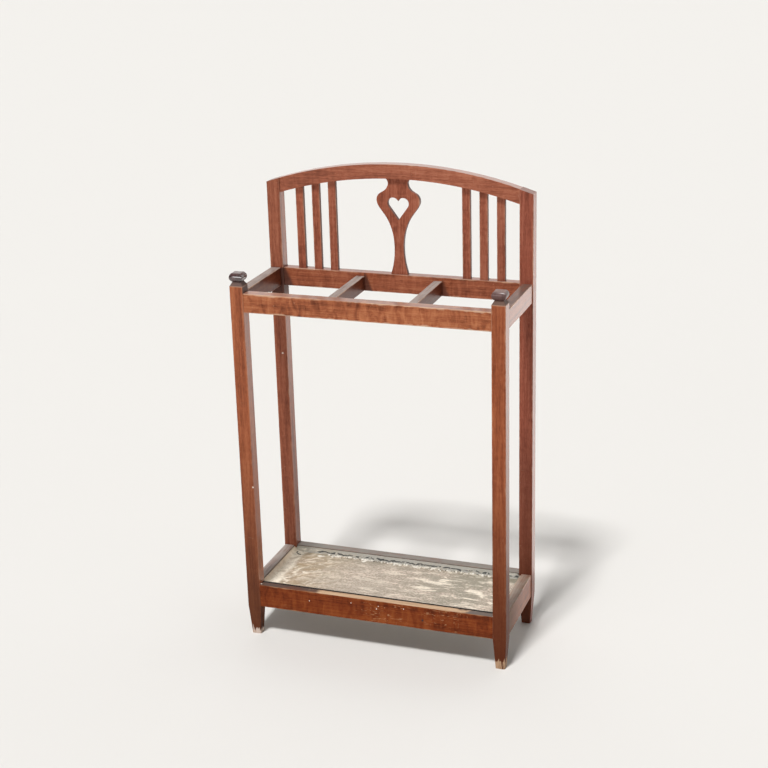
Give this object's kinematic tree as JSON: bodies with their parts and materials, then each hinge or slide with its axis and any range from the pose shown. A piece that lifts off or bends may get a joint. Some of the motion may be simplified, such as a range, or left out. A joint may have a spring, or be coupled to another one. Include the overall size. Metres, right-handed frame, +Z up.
{
  "type": "umbrella stand",
  "caption": "Free-standing wooden umbrella stand: open divided rack on square posts, arched slatted back with a heart-pierced splat, and a lift-out zinc drip tray in the base.",
  "frame": {"origin": "on the floor, at the centre of the stand's footprint", "axes": "+Z up, +X to the right of someone facing the stand, -Y out of its front"},
  "size_m": [0.54, 0.222, 0.938],
  "materials": {
    "stained_wood": "red-brown stained hardwood, rubbed semi-gloss polish, worn pale on the arrises",
    "dark_wood": "near-black polished hardwood",
    "plain_wood": "unfinished softwood",
    "zinc": "dull zinc sheet with dried water marks and lime scale",
    "screw_steel": "dull steel wood screws"
  },
  "bodies": {
    "stand": {"back_ledger": "plain_wood", "back_left_post": "stained_wood", "back_right_post": "stained_wood", "base_back_rail": "stained_wood", "base_front_rail": "stained_wood", "base_left_rail": "stained_wood", "base_right_rail": "stained_wood", "crest_rail": "stained_wood", "finial_dowels": "plain_wood", "front_ledger": "plain_wood", "front_left_post": "stained_wood", "front_right_post": "stained_wood", "heart_splat": "stained_wood", "ledger_screws": "screw_steel", "left_finial": "dark_wood", "left_inner_slat": "stained_wood", "left_middle_slat": "stained_wood", "left_outer_slat": "stained_wood", "rack_back_rail": "stained_wood", "rack_divider_left": "stained_wood", "rack_divider_right": "stained_wood", "rack_front_rail": "stained_wood", "rack_left_rail": "stained_wood", "rack_right_rail": "stained_wood", "right_finial": "dark_wood", "right_inner_slat": "stained_wood", "right_middle_slat": "stained_wood", "right_outer_slat": "stained_wood"},
    "tray": {"drip_tray": "zinc"}
  },
  "joints": [
    {"name": "tray_lift", "type": "slide", "parent": "stand", "child": "tray", "axis": [0, 0, 1], "range_m": [0, 0.15]}
  ]
}
